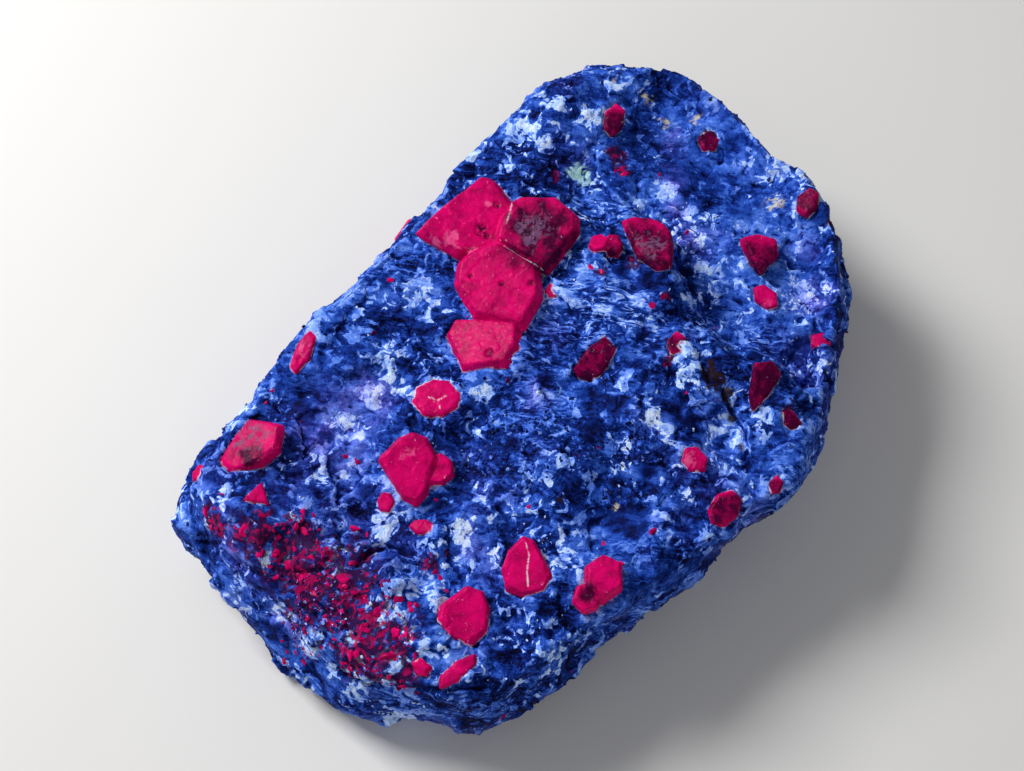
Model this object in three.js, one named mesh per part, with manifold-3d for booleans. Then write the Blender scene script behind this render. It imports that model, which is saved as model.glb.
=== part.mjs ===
// Ruby crystals in their matrix: one broken chunk of blue rock with ruby crystals grown in its faces.
// Millimetres, +Z up. The long side of the stone lies along X, and its flat broken base is at Z = 0.
import * as THREE from "three";
import { ConvexGeometry } from "three/addons/geometries/ConvexGeometry.js";
import { ImprovedNoise } from "three/addons/math/ImprovedNoise.js";
import { mergeVertices } from "three/addons/utils/BufferGeometryUtils.js";
import Module from "manifold-3d";

const wasm = await Module();
wasm.setup();

// Driving dimensions of the stone
const HALF_LENGTH = 41;
const HALF_WIDTH = 27;
const HALF_HEIGHT = 12;
const MIDDLE_HEIGHT = 9;
const TOP_HEIGHT = 17.2;
const TOP_RISE_ALONG = 0.1;
const TOP_RISE_ACROSS = 0.04;
const BASE_DEPTH = -2.6;
const EDGE_SHARPNESS = 40;
const SURFACE_DETAIL = 16;

// The rim is where the stone is widest. Each corner has its place and height, and the lean in degrees
// of the faces above and below the edge that leaves it, both leaning in over the stone.
const RIM = [
  { corner: [41.4, 8.6, 14], above: 30, below: 12 },
  { corner: [37, 18.8, 14], above: 28, below: 15 },
  { corner: [31.4, 23.6, 14], above: 25, below: 10 },
  { corner: [12, 26.9, 13.5], above: 24, below: 8 },
  { corner: [-28, 27.2, 9.5], above: 28, below: 10 },
  { corner: [-35.8, 26.4, 8], above: 30, below: 15 },
  { corner: [-38.2, 18.8, 6], above: 26, below: 20 },
  { corner: [-42, 3.2, 3.5], above: 9, below: 34 },
  { corner: [-34.9, -13.6, 3.5], above: 7, below: 38 },
  { corner: [4, -27.4, 11], above: 16, below: 32 },
  { corner: [17.6, -24.4, 12.5], above: 26, below: 26 },
  { corner: [29.8, -17.8, 13.5], above: 28, below: 22 },
  { corner: [36.2, -10, 13.5], above: 28, below: 20 },
  { corner: [40, 3.6, 14], above: 28, below: 16 },
];

// Broken blocks on the surface: each has its own level and tilt, so that the faces step like split rock.
const BLOCK_COUNT = 150;
const BLOCK_SEED = 4211;
const BLOCK_LEVEL = 0.9;
const BLOCK_TILT = 0.16;
const BLOCK_JOINT = 0.8;
const BLOCK_SIDE_SHARE = 0.45;
const LUMP_SIZE = 12;
const LUMP_HEIGHT = 0.7;
const FINE_LUMP_SIZE = 5.2;
const FINE_LUMP_HEIGHT = 0.35;
// The relief of the top starts on faces this level, and is full on faces this level.
const TOP_FACING = [0.45, 0.8];

// The shelf: past this line the top drops to a lower face at the high end. Across, then along.
const SHELF_LINE = [
  [-27, 12.5],
  [-21, 11.5],
  [-12, 11],
  [-6, 13],
  [-4, 15],
  [-2.6, 17.2],
  [-1, 18.9],
  [4, 17.6],
  [8.5, 15.4],
  [15, 14.6],
  [19, 15],
];
const SHELF_DROP = 3.4;
const SHELF_SCARP = 1.6;
const SHELF_FADE = [19, 9];

// Hollows and swells in the top: place, radius along and across, and depth (negative for a swell)
const HOLLOW_FALLOFF = 1.6;
const HOLLOWS = [
  { at: [4.5, -17.5], radius: [4.5, 2.2], depth: 2.2 },
  { at: [-9.5, 1.5], radius: [7, 4], depth: 1.1 },
  { at: [-32, 8], radius: [6, 5], depth: 1.4 },
  { at: [-12, -13], radius: [4, 3], depth: 1.2 },
  { at: [16, -8], radius: [3.5, 3], depth: 0.9 },
  { at: [-27.8, 1.8], radius: [2.6, 2.4], depth: -1.1 },
  { at: [3, -9], radius: [6, 4.5], depth: -0.9 },
  { at: [-4, 20], radius: [9, 4], depth: -0.6 },
];

// Front ledge: the face below it steps back under the front end of the top.
const FRONT_LEDGE = {
  from: [-41, -1],
  to: [-31, -14.5],
  startFade: [-0.4, 0.3],
  endFade: [0.7, 1.3],
  backFade: [-28, -33],
  depth: 1.6,
  topFade: [11.5, 9.3],
  footFade: [4, 8],
};

// Crystals: how far they stand out and go in, and the clearance of the sockets that they sit in
const SOCKET_GAP = 0.3;
const MEMBER_OVERLAP = 0.45;
const CRYSTAL_SINK = 2.6;
const CRYSTAL_RISE = 1.2;
const CROWN = 0.84;
const ROOT = 0.72;
const CROWN_SHARE = 0.42;
const SLOPE_REACH = 1.2;
const FIRST_CORNER = 0.3;

// Points closer than this are one point, and lines towards the stone start this far out.
const WELD = 1e-4;
const FAR_OUT = 100;

const FINISHES = {
  matrix: { color: 0x2f45a0, roughness: 0.78, metalness: 0 },
  ruby: { color: 0xb00a3c, roughness: 0.32, metalness: 0 },
};

const noise = new ImprovedNoise();

// A repeatable random number in 0..1, by the Park and Miller rule
function randomFrom(seed) {
  const modulus = 2147483647;
  const factor = 16807;
  let state = seed;
  return () => {
    state = (state * factor) % modulus;
    return state / modulus;
  };
}

const smooth = (low, high, value) => THREE.MathUtils.smoothstep(value, low, high);

// The stone's rough shape, as the half-spaces that its broken faces lie on

function leaningPlane(start, end, lean, upward) {
  const edge = end.clone().sub(start);
  const outward = new THREE.Vector3(edge.y, -edge.x, 0).normalize();
  const angle = THREE.MathUtils.degToRad(lean);
  const climb = outward.clone().multiplyScalar(-Math.sin(angle));
  climb.z = upward * Math.cos(angle);
  const normal = edge.cross(climb).normalize();
  if (normal.dot(outward) < 0) normal.negate();
  return new THREE.Plane().setFromNormalAndCoplanarPoint(normal, start);
}

function stonePlanes() {
  const corners = RIM.map((r) => new THREE.Vector3(...r.corner));
  const sides = RIM.flatMap((r, i) => {
    const next = corners[(i + 1) % corners.length];
    return [
      leaningPlane(corners[i], next, r.above, 1),
      leaningPlane(corners[i], next, r.below, -1),
    ];
  });
  const topNormal = new THREE.Vector3(-TOP_RISE_ALONG, -TOP_RISE_ACROSS, 1).normalize();
  const topMiddle = new THREE.Vector3(0, 0, TOP_HEIGHT);
  const top = new THREE.Plane().setFromNormalAndCoplanarPoint(topNormal, topMiddle);
  const base = new THREE.Plane(new THREE.Vector3(0, 0, -1), BASE_DEPTH);
  return [...sides, top, base];
}

const middle = new THREE.Vector3(0, 0, MIDDLE_HEIGHT);
const planes = stonePlanes().map((plane) => ({
  normal: plane.normal,
  room: -plane.distanceToPoint(middle),
}));

// Where a ray from the middle leaves the stone, with the edges a little rounded, and the way out there
function roughSurface(ray) {
  let sum = 0;
  const normal = new THREE.Vector3();
  for (const plane of planes) {
    const facing = plane.normal.dot(ray);
    if (facing <= 0) continue;
    const share = (facing / plane.room) ** EDGE_SHARPNESS;
    sum += share;
    normal.addScaledVector(plane.normal, share);
  }
  const reach = sum ** (-1 / EDGE_SHARPNESS);
  return { point: middle.clone().addScaledVector(ray, reach), normal: normal.normalize() };
}

// Broken blocks: the two nearest blocks are blended over a narrow joint

function makeBlocks() {
  const random = randomFrom(BLOCK_SEED);
  const between = (half) => (random() * 2 - 1) * half;
  return Array.from({ length: BLOCK_COUNT }, () => {
    const direction = new THREE.Vector3(between(1), between(1), between(1)).normalize();
    const ray = direction.multiply(new THREE.Vector3(HALF_LENGTH, HALF_WIDTH, HALF_HEIGHT)).normalize();
    return {
      centre: roughSurface(ray).point,
      level: between(BLOCK_LEVEL),
      tilt: new THREE.Vector3(between(BLOCK_TILT), between(BLOCK_TILT), between(BLOCK_TILT)),
    };
  });
}

const blocks = makeBlocks();

function blockHeight(point) {
  const near = blocks
    .map((block) => ({ block, distance: block.centre.distanceTo(point) }))
    .sort((a, b) => a.distance - b.distance);
  const heightOn = ({ block }) => block.level + block.tilt.dot(point.clone().sub(block.centre));
  const share = smooth(0, BLOCK_JOINT, (near[1].distance - near[0].distance) / 2);
  const joint = (heightOn(near[0]) + heightOn(near[1])) / 2;
  return THREE.MathUtils.lerp(joint, heightOn(near[0]), share);
}

function lumpHeight(point) {
  const coarse = point.clone().divideScalar(LUMP_SIZE);
  const fine = point.clone().divideScalar(FINE_LUMP_SIZE);
  const coarseHeight = LUMP_HEIGHT * noise.noise(coarse.x, coarse.y, coarse.z);
  return coarseHeight + FINE_LUMP_HEIGHT * noise.noise(fine.x, fine.y, fine.z);
}

// Relief of the top face, as a change of height

function shelfEdgeAt(across) {
  const last = SHELF_LINE.length - 1;
  const next = SHELF_LINE.findIndex((p) => p[0] > across);
  if (next === 0) return SHELF_LINE[0][1];
  if (next < 0) return SHELF_LINE[last][1];
  const [low, high] = [SHELF_LINE[next - 1], SHELF_LINE[next]];
  return THREE.MathUtils.mapLinear(across, low[0], high[0], low[1], high[1]);
}

function shelfHeight(x, y) {
  const past = smooth(-SHELF_SCARP / 2, SHELF_SCARP / 2, x - shelfEdgeAt(y));
  const fade = 1 - smooth(SHELF_FADE[1], SHELF_FADE[0], y);
  return -SHELF_DROP * past * fade;
}

function hollowHeight(x, y) {
  return HOLLOWS.reduce((sum, { at, radius, depth }) => {
    const r = Math.hypot((x - at[0]) / radius[0], (y - at[1]) / radius[1]);
    return sum - depth * Math.exp(-(r ** 2) * HOLLOW_FALLOFF);
  }, 0);
}

// How far a point of the front end is pushed in under the ledge
function ledgePush(point) {
  const { startFade, endFade, backFade, topFade, footFade, depth } = FRONT_LEDGE;
  const from = new THREE.Vector2(...FRONT_LEDGE.from);
  const along = new THREE.Vector2(...FRONT_LEDGE.to).sub(from);
  const share = new THREE.Vector2(point.x, point.y).sub(from).dot(along) / along.lengthSq();
  const onLedge = smooth(...startFade, share) * (1 - smooth(...endFade, share));
  const below = smooth(...topFade, point.z) * smooth(...footFade, point.z);
  return depth * onLedge * smooth(...backFade, point.x) * below;
}

function solidFrom(geometry) {
  const bare = geometry.clone();
  bare.deleteAttribute("normal");
  bare.deleteAttribute("uv");
  const merged = mergeVertices(bare, WELD);
  const triVerts = new Uint32Array(merged.index.array);
  const vertProperties = merged.attributes.position.array;
  return new wasm.Manifold(new wasm.Mesh({ numProp: 3, vertProperties, triVerts }));
}

function geometryFrom(solid) {
  const mesh = solid.getMesh();
  const geometry = new THREE.BufferGeometry();
  geometry.setAttribute("position", new THREE.BufferAttribute(mesh.vertProperties, 3));
  geometry.setIndex(new THREE.BufferAttribute(mesh.triVerts, 1));
  geometry.computeVertexNormals();
  return geometry;
}

function wholeStone() {
  const ball = new THREE.IcosahedronGeometry(1, SURFACE_DETAIL);
  const position = ball.getAttribute("position");
  const spread = new THREE.Vector3(HALF_LENGTH, HALF_WIDTH, HALF_HEIGHT);
  for (let i = 0; i < position.count; i++) {
    const ray = new THREE.Vector3().fromBufferAttribute(position, i).multiply(spread).normalize();
    const { point, normal } = roughSurface(ray);
    const share = THREE.MathUtils.lerp(BLOCK_SIDE_SHARE, 1, Math.abs(normal.z));
    const out = share * (blockHeight(point) + lumpHeight(point)) - ledgePush(point);
    const upper = smooth(...TOP_FACING, normal.z);
    const relief = upper * (shelfHeight(point.x, point.y) + hollowHeight(point.x, point.y));
    point.addScaledVector(normal, out);
    point.z += relief;
    position.setXYZ(i, point.x, point.y, point.z);
  }
  return solidFrom(ball);
}

// The base is split flat at Z = 0.
function restingStone() {
  const room = 4 * HALF_LENGTH;
  const below = new THREE.BoxGeometry(room, room, room).translate(0, 0, -room / 2);
  return wholeStone().subtract(solidFrom(below));
}

const stone = restingStone();
const bothSides = new THREE.MeshBasicMaterial({ side: THREE.DoubleSide });
const stoneMesh = new THREE.Mesh(geometryFrom(stone), bothSides);

// Crystals

const circle = (sides, length, width, turn) =>
  Array.from({ length: sides }, (_, i) => {
    const angle = (i / sides) * 2 * Math.PI + FIRST_CORNER;
    const flat = new THREE.Vector2((length / 2) * Math.cos(angle), (width / 2) * Math.sin(angle));
    return flat.rotateAround(new THREE.Vector2(), THREE.MathUtils.degToRad(turn)).toArray();
  });

// Each crystal has its place on the plan, and its outline there or its sides, length, width and turn.
// rise is how far it stands out, sink how far it goes in, and slope tips its crown along and across.
const TOP_CRYSTALS = [
  {
    name: "ruby_cluster",
    members: [
      {
        at: [7.2, 17.3],
        outline: [
          [-3.9, 4], [-0.9, 3.5], [1.6, 2.3], [5.2, 2.1],
          [5.5, 0.7], [4.2, -2.7], [-0.7, -4.4], [-3.6, -1],
        ],
        rise: 1.7,
        slope: [0.3, 0.5],
      },
      {
        at: [10, 10.5],
        outline: [
          [0.9, 3.7], [1.9, 3.1], [3.7, 0], [3.2, -2.9],
          [1.7, -3.8], [-3.4, -3.6], [-3.4, 2.7], [-1, 3.5],
        ],
        rise: 2.1,
        slope: [0.2, 0.2],
      },
      {
        at: [2.7, 10.4],
        outline: [
          [-2.3, 3.7], [-0.1, 4.8], [1.6, 4.4], [3.7, 2.6],
          [3.8, -2.3], [1.1, -4.5], [-2.6, -5], [-4, 0],
        ],
        rise: 1.8,
        slope: [0.2, -0.2],
      },
      {
        at: [-2.9, 8.1],
        outline: [[-1.2, 3.8], [0.5, 4], [3.4, -2.2], [0.8, -3.7], [-1.2, -3.8], [-3.7, 0]],
        rise: 1.3,
        slope: [0.2, 0],
      },
    ],
  },
  { name: "ruby_bud", at: [5.2, 5.4], sides: 5, length: 2, width: 1.5, turn: 30, rise: 0.6 },
  { name: "ruby_oval", at: [-11.1, 8.4], sides: 8, length: 5.4, width: 4.6, turn: 120, rise: 0.8 },
  {
    name: "ruby_heart",
    members: [
      {
        at: [-18.4, 6.2],
        outline: [
          [-1.1, 3], [1.5, 2.5], [2.7, 1.8], [3, 0.4],
          [2, -1.3], [-1, -2.5], [-2.6, -2.4], [-2.7, -1],
        ],
        rise: 1.4,
        slope: [0.3, 0.2],
      },
      { at: [-17, 3.9], sides: 7, length: 2.6, width: 2.4, turn: 10, rise: 1 },
    ],
  },
  { name: "ruby_bead", at: [-22.6, 6.3], sides: 6, length: 2.3, width: 1.9, turn: 40, rise: 0.8 },
  { name: "ruby_crescent", at: [-22.6, 1.7], sides: 6, length: 3, width: 1.7, turn: 110, rise: 0.7 },
  {
    name: "ruby_roof",
    at: [-25.9, 20.4],
    outline: [[-3.2, 2.3], [0.2, 2.7], [2.5, 2.4], [3.5, -1.7], [1.2, -3], [-1, -2.5], [-3.3, 0]],
    rise: 1.6,
    slope: [0.5, -0.9],
  },
  {
    name: "ruby_west_chip",
    at: [-30.6, 23.6],
    sides: 5,
    length: 2.2,
    width: 1.7,
    turn: 20,
    rise: 0.8,
    sink: 1.8,
  },
  { name: "ruby_wedge", at: [-29.9, 16.4], outline: [[-1.5, 1], [1.5, 0.7], [0, -1.5]], rise: 0.9 },
  { name: "ruby_rim_sliver", at: [-14.9, 22.6], sides: 6, length: 5.6, width: 2, turn: 14, rise: 0.8 },
  {
    name: "ruby_veined",
    at: [-20.8, -9.6],
    outline: [
      [-1.4, 2.1], [0.4, 2.5], [2.4, 2], [2.6, 0.8],
      [0.7, -2.8], [-1, -2.8], [-2.4, -1.2], [-2.8, 0.7],
    ],
    rise: 1.9,
    slope: [0.7, 0.3],
  },
  {
    name: "ruby_twin",
    members: [
      { at: [-17.9, -16.2], sides: 6, length: 4, width: 3.3, turn: 20, rise: 1.4 },
      { at: [-20.1, -15.9], sides: 6, length: 2.3, width: 2, turn: 0, rise: 1 },
    ],
  },
  {
    name: "ruby_front_block",
    at: [-27.6, -6.9],
    outline: [
      [-2.4, 1.9], [-0.7, 2.5], [2.4, 1.6], [2.8, -0.1],
      [1.9, -1.6], [-0.2, -2.8], [-2.3, -2.2], [-3.1, 0],
    ],
    rise: 1.6,
    slope: [0.4, 0.1],
  },
  {
    name: "ruby_front_blade",
    at: [-32.4, -9.6],
    sides: 6,
    length: 5,
    width: 1.8,
    turn: -16,
    rise: 0.9,
    sink: 2,
  },
  { name: "ruby_front_chip", at: [-34, -6.6], sides: 5, length: 2.4, width: 1.7, turn: 80, rise: 0.7 },
  {
    name: "ruby_middle",
    at: [1.2, -2.8],
    outline: [[-2.2, 1.5], [0.8, 1.4], [2.6, 0.7], [2.1, -1.2], [-1.6, -1.4], [-2.4, 0.2]],
    rise: 1.5,
    slope: [0.5, 0.3],
  },
  { name: "ruby_faded", at: [6.7, -8.8], sides: 5, length: 3.4, width: 2.1, turn: 20, rise: 0.5 },
  {
    name: "ruby_ledge_block",
    at: [15, -0.2],
    outline: [
      [0.6, 3.9], [1.7, 3.3], [2.6, 1.6], [2.8, -0.1], [2.2, -1.4],
      [0.7, -2.6], [-1.6, -3.8], [-2.6, -2.6], [-2.4, 0], [-0.6, 2.4],
    ],
    rise: 1.7,
    slope: [-0.3, -0.2],
  },
  {
    name: "ruby_ledge_chip",
    members: [
      { at: [11.9, 4.1], sides: 6, length: 1.5, width: 1.3, turn: 0, rise: 1 },
      { at: [12.7, 2.8], sides: 6, length: 1.7, width: 1.4, turn: 40, rise: 0.8 },
    ],
  },
  {
    name: "ruby_kite",
    at: [22.6, -9.6],
    outline: [[-0.2, 2.5], [1.5, 1.4], [2.2, -0.8], [0.8, -1.9], [-2.5, -1.6], [-1.8, 0.3]],
    rise: 1.8,
    slope: [-0.4, 0.2],
  },
  { name: "ruby_shelf_chip", at: [18.4, -12.9], sides: 6, length: 3.5, width: 2.3, turn: 70, rise: 1 },
  {
    name: "ruby_right_edge",
    at: [17.4, -20.2],
    sides: 5,
    length: 2.7,
    width: 2.2,
    turn: 60,
    rise: 0.8,
    sink: 1.8,
  },
  {
    name: "ruby_blade",
    at: [8.4, -18.3],
    outline: [[0.7, 1.8], [2.1, 0.4], [1.7, -1], [-1, -1.2], [-3.4, -0.6], [-2.1, 0.7]],
    rise: 1.7,
    slope: [0.3, 0.9],
  },
  { name: "ruby_low_chip", at: [6.6, -22.3], sides: 5, length: 3, width: 2, turn: 70, rise: 0.7, sink: 1.8 },
  { name: "ruby_striated", at: [-2.3, -16.7], sides: 6, length: 3.2, width: 2.7, turn: 60, rise: 0.9 },
  {
    name: "ruby_rim_pair",
    at: [-4.6, -21.7],
    sides: 7,
    length: 4.4,
    width: 3.1,
    turn: 0,
    rise: 1.1,
    sink: 1.8,
  },
  {
    name: "ruby_rim_chip",
    at: [0.4, -24.6],
    sides: 5,
    length: 2.2,
    width: 1.6,
    turn: 10,
    rise: 0.6,
    sink: 1.5,
  },
  { name: "ruby_high", at: [27.6, 12.4], sides: 6, length: 4.4, width: 2.6, turn: 20, rise: 0.8 },
  { name: "ruby_far", at: [32.8, 2.8], sides: 6, length: 3, width: 2.7, turn: 40, rise: 0.7 },
  { name: "ruby_far_rim", at: [30.2, -11], sides: 6, length: 3.6, width: 2.6, turn: 10, rise: 0.8, sink: 2 },
];

// Crystals in the side faces: the compass angle that they face, their height, and their size
const SIDE_CRYSTALS = [
  { name: "ruby_back_plate", facing: 72, height: 8, sides: 6, length: 7, width: 5, turn: 15, rise: 1.4 },
  { name: "ruby_back_chip", facing: 112, height: 6, sides: 6, length: 4.2, width: 3.2, turn: 50, rise: 0.9 },
  { name: "ruby_end_plate", facing: 12, height: 8, sides: 6, length: 5.4, width: 4.4, turn: 30, rise: 1.1 },
  { name: "ruby_side_chip", facing: -40, height: 9, sides: 5, length: 4.4, width: 3.4, turn: 10, rise: 1 },
];

// The two rings of a crystal's crown and the one of its root, as one solid with flat faces.
// grow widens it all round, for the socket that it leaves in the matrix.
function crystalGeometry(crystal, grow) {
  const { outline, sides, length, width, turn } = crystal;
  const { rise = CRYSTAL_RISE, sink = CRYSTAL_SINK, slope = [0, 0] } = crystal;
  const ring = (outline ?? circle(sides, length, width, turn)).map((p) => new THREE.Vector2(...p));
  const girdleHeight = rise * (1 - CROWN_SHARE);
  const place = (point, share, height) => {
    const flat = point.clone().multiplyScalar(share);
    flat.setLength(flat.length() + grow);
    return new THREE.Vector3(flat.x, flat.y, height);
  };
  const tipped = (point, share, height) => {
    const placed = place(point, share, height);
    placed.z += (placed.x * slope[0] + placed.y * slope[1]) / ring[0].length();
    return placed;
  };
  return new ConvexGeometry([
    ...ring.map((p) => place(p, ROOT, -sink - grow)),
    ...ring.map((p) => tipped(p, 1, girdleHeight)),
    ...ring.map((p) => tipped(p, CROWN, rise + grow)),
  ]);
}

const caster = new THREE.Raycaster();

// Where a line towards the stone first meets it
function firstTouch(from, towards) {
  caster.set(from, towards);
  return caster.intersectObject(stoneMesh)[0].point;
}

const topAt = (x, y) => firstTouch(new THREE.Vector3(x, y, FAR_OUT), new THREE.Vector3(0, 0, -1));

// A crystal on the top leans half way from the top face to the slope of its own spot.
function topPlacement({ at: [x, y] }) {
  const touch = topAt(x, y);
  const along = topAt(x - Math.sign(x) * SLOPE_REACH, y).sub(touch).multiplyScalar(-Math.sign(x));
  const across = topAt(x, y - Math.sign(y) * SLOPE_REACH).sub(touch).multiplyScalar(-Math.sign(y));
  const topNormal = new THREE.Vector3(-TOP_RISE_ALONG, -TOP_RISE_ACROSS, 1).normalize();
  const out = along.cross(across).normalize().add(topNormal).normalize();
  const turn = new THREE.Quaternion().setFromUnitVectors(new THREE.Vector3(0, 0, 1), out);
  return new THREE.Matrix4().compose(touch, turn, new THREE.Vector3(1, 1, 1));
}

function sidePlacement({ facing, height }) {
  const angle = THREE.MathUtils.degToRad(facing);
  const outward = new THREE.Vector3(Math.cos(angle), Math.sin(angle), 0);
  const from = outward.clone().multiplyScalar(FAR_OUT).setZ(height);
  const touch = firstTouch(from, outward.clone().negate());
  const out = roughSurface(touch.clone().sub(middle).normalize()).normal;
  const sideways = new THREE.Vector3(0, 0, 1).cross(out).normalize();
  const axes = new THREE.Matrix4().makeBasis(sideways, out.clone().cross(sideways), out);
  return axes.setPosition(touch);
}

// A crystal as one solid: members that grew into each other overlap a little and are joined.
function crystalSolid(crystal, placement, grow) {
  const members = crystal.members ?? [crystal];
  const size = crystal.members ? grow + MEMBER_OVERLAP : grow;
  return members
    .map((member) => solidFrom(crystalGeometry(member, size).applyMatrix4(placement(member))))
    .reduce((joined, solid) => joined.add(solid));
}

const matrixMaterial = new THREE.MeshStandardMaterial(FINISHES.matrix);
const rubyMaterial = new THREE.MeshStandardMaterial(FINISHES.ruby);

function namedMesh(name, solid, material) {
  const mesh = new THREE.Mesh(geometryFrom(solid), material);
  mesh.name = name;
  return mesh;
}

// The crystals sit in sockets in the matrix.
const specimen = new THREE.Group();
let matrix = stone;
const sets = [
  [TOP_CRYSTALS, topPlacement],
  [SIDE_CRYSTALS, sidePlacement],
];
for (const [crystals, placement] of sets) {
  for (const crystal of crystals) {
    matrix = matrix.subtract(crystalSolid(crystal, placement, SOCKET_GAP));
    specimen.add(namedMesh(crystal.name, crystalSolid(crystal, placement, 0), rubyMaterial));
  }
}
specimen.add(namedMesh("matrix", matrix, matrixMaterial));

// The origin is under the middle of the whole specimen, on the surface that it rests on.
const box = new THREE.Box3().setFromObject(specimen);
const centre = box.getCenter(new THREE.Vector3());
specimen.position.set(-centre.x, -centre.y, -box.min.z);

const part = new THREE.Group();
part.add(specimen);

export default part;
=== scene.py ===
import math

import bmesh
import bpy
import numpy as np
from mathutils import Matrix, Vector
from mathutils.bvhtree import BVHTree


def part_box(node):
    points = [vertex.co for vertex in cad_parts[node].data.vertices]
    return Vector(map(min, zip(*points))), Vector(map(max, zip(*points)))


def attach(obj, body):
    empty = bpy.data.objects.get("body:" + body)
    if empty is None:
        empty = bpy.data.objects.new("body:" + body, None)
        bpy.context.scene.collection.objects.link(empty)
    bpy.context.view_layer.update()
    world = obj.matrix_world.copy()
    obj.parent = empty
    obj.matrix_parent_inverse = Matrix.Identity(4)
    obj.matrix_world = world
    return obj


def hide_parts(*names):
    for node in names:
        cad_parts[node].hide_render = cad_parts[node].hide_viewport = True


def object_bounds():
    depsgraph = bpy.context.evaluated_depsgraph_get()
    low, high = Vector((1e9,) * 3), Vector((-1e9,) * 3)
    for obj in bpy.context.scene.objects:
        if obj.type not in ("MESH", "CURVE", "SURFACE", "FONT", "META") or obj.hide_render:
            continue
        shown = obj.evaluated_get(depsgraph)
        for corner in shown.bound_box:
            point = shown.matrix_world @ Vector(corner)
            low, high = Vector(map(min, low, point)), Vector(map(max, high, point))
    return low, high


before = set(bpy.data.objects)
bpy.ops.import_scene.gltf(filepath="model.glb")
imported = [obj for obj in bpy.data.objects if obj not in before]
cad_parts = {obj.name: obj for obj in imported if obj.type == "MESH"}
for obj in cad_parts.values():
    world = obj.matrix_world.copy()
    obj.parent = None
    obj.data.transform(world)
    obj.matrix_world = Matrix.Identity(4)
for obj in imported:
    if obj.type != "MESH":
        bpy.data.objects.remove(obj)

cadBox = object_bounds()
mm = 0.001  # everything below is worked out in millimetres
print("frame:", len(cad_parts), "solids, box", [round(v / mm, 1) for v in cadBox[1] - cadBox[0]], "mm")


# Camera, at the photo's viewing angle

view = {
    "width": 1024,  # photo pixels
    "height": 771,
    "lens": 50.0,
    "sensor": 36.0,
    "azimuth": -55.0,  # degrees round the stone
    "elevation": 60.0,
    "aim": (-3.53, 3.80, 12.0),
    "distance": 149.7,
    "clip": (0.005, 5.0),  # metres
}
focalPixels = view["lens"] / view["sensor"] * view["width"]
pixelsPerMm = focalPixels / view["distance"]


def makeCamera():
    turn = math.radians(view["azimuth"])
    rise = math.radians(view["elevation"])
    back = Vector((math.sin(turn) * math.cos(rise), -math.cos(turn) * math.cos(rise), math.sin(rise)))
    data = bpy.data.cameras.new("photoCamera")
    data.lens = view["lens"]
    data.sensor_width = view["sensor"]
    data.clip_start, data.clip_end = view["clip"]
    photoCamera = bpy.data.objects.new("photoCamera", data)
    photoCamera.rotation_mode = "QUATERNION"
    photoCamera.location = (Vector(view["aim"]) + back * view["distance"]) * mm
    photoCamera.rotation_quaternion = (-back).to_track_quat("-Z", "Y")
    bpy.context.scene.collection.objects.link(photoCamera)
    bpy.context.scene.camera = photoCamera
    return photoCamera


camera = makeCamera()
print("camera at", [round(v / mm, 1) for v in camera.location])


# Mesh arrays

def nodeArrays(name):
    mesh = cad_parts[name].data
    mesh.calc_loop_triangles()
    points = np.empty(len(mesh.vertices) * 3)
    corners = np.empty(len(mesh.loop_triangles) * 3, np.int64)
    mesh.vertices.foreach_get("co", points)
    mesh.loop_triangles.foreach_get("vertices", corners)
    welded, order = np.unique((points.reshape(-1, 3) / mm).round(4), axis=0, return_inverse=True)
    return welded, order.reshape(-1)[corners].reshape(-1, 3)


def joinArrays(parts):
    points = []
    faces = []
    count = 0
    for partPoints, partFaces in parts:
        points.append(partPoints)
        faces.append(partFaces + count)
        count += len(partPoints)
    return np.concatenate(points), np.concatenate(faces)


def treeOf(points, faces):
    return BVHTree.FromPolygons(points.tolist(), faces.tolist())


def bareObject(name, points, faces):
    mesh = bpy.data.meshes.new(name)
    mesh.from_pydata(points, [], faces.tolist())
    piece = bpy.data.objects.new(name, mesh)
    bpy.context.scene.collection.objects.link(piece)
    return piece


def settledArrays(piece):
    bpy.context.view_layer.update()
    mesh = piece.evaluated_get(bpy.context.evaluated_depsgraph_get()).to_mesh()
    points = np.empty(len(mesh.vertices) * 3)
    mesh.vertices.foreach_get("co", points)
    corners = np.empty(len(mesh.loops), np.int64)
    mesh.loops.foreach_get("vertex_index", corners)
    sides = len(mesh.loops) // len(mesh.polygons)
    bpy.data.objects.remove(piece)
    return points.reshape(-1, 3), corners.reshape(-1, sides)


def voxelSkin(points, faces, voxel):
    piece = bareObject("voxelWork", points, faces)
    remesh = piece.modifiers.new("remesh", "REMESH")
    remesh.mode = "VOXEL"
    remesh.voxel_size = voxel
    return settledArrays(piece)


def thinned(points, faces, triangles):
    piece = bareObject("thinWork", points, faces)
    decimate = piece.modifiers.new("thin", "DECIMATE")
    decimate.ratio = triangles / (2 * len(faces))
    piece.modifiers.new("triangles", "TRIANGULATE")
    return settledArrays(piece)


def outwardNormals(points, faces):
    facing = np.cross(points[faces[:, 2]] - points[faces[:, 0]], points[faces[:, -1]] - points[faces[:, 1]])
    normals = np.zeros_like(points)
    for corner in faces.T:
        for axis in range(3):
            normals[:, axis] += np.bincount(corner, facing[:, axis], len(points))
    return normals / np.maximum(np.linalg.norm(normals, axis=1, keepdims=True), 1e-12)


def relaxed(points, faces, rounds, share=0.5):
    forward = faces.reshape(-1)
    backward = np.roll(faces, -1, axis=1).reshape(-1)
    starts = np.concatenate([forward, backward])
    ends = np.concatenate([backward, forward])
    count = np.maximum(np.bincount(starts, minlength=len(points)), 1)[:, None]
    for _ in range(rounds):
        total = np.stack([np.bincount(starts, points[ends, axis], len(points)) for axis in range(3)], 1)
        points = points + share * (total / count - points)
    return points


def insideBox(points, room=0.02):
    low, high = (np.array(corner) / mm for corner in cadBox)
    return np.clip(points, low + [room, room, 0], high - room)


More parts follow.
